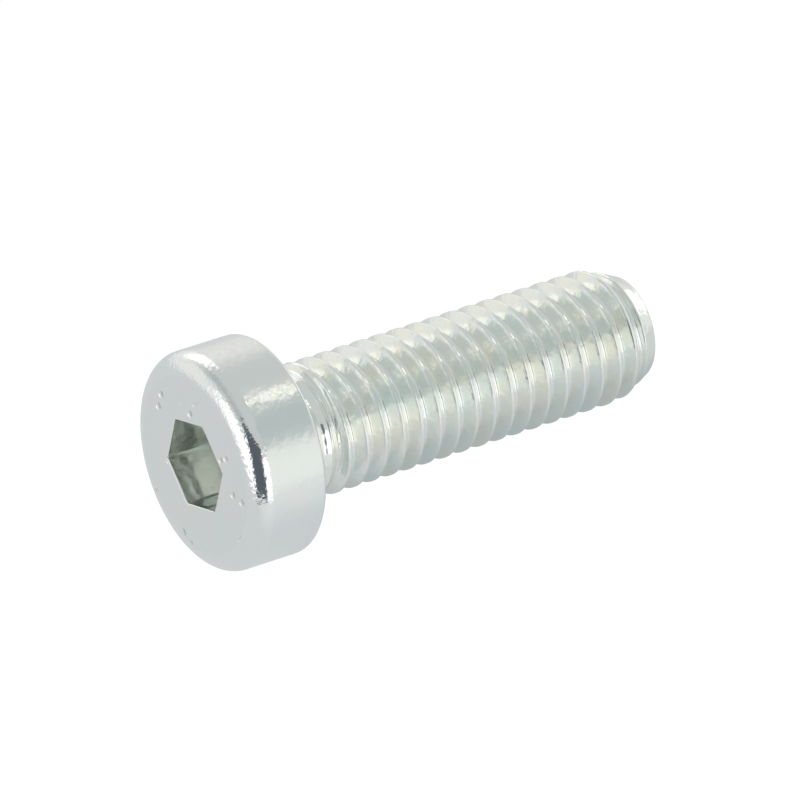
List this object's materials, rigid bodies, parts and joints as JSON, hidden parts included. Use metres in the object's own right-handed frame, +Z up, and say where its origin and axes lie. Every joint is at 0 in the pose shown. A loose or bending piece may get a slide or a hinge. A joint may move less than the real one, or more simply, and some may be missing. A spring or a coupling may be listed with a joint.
{
  "type": "hex socket low head cap screw",
  "caption": "Low head cap screw with a hexagon socket and a metric thread close up to the head, in bright zinc plated steel.",
  "frame": {"origin": "on the surface that the screw lies on, under the middle of its bounding box", "axes": "+X from the head toward the tip, +Z up, +Y across. The screw's axis lies in the XZ plane and dips by 6.4 degrees toward the tip, because the screw rests on the rim of its head and on the thread near its tip"},
  "size_m": [0.0306, 0.013, 0.0133],
  "materials": {
    "zinc_plated_steel": "bright blue-white zinc plating over cold formed steel, satin on the head and shinier on the rolled thread"
  },
  "bodies": {
    "root": {"cap_screw": "zinc_plated_steel"}
  },
  "joints": []
}
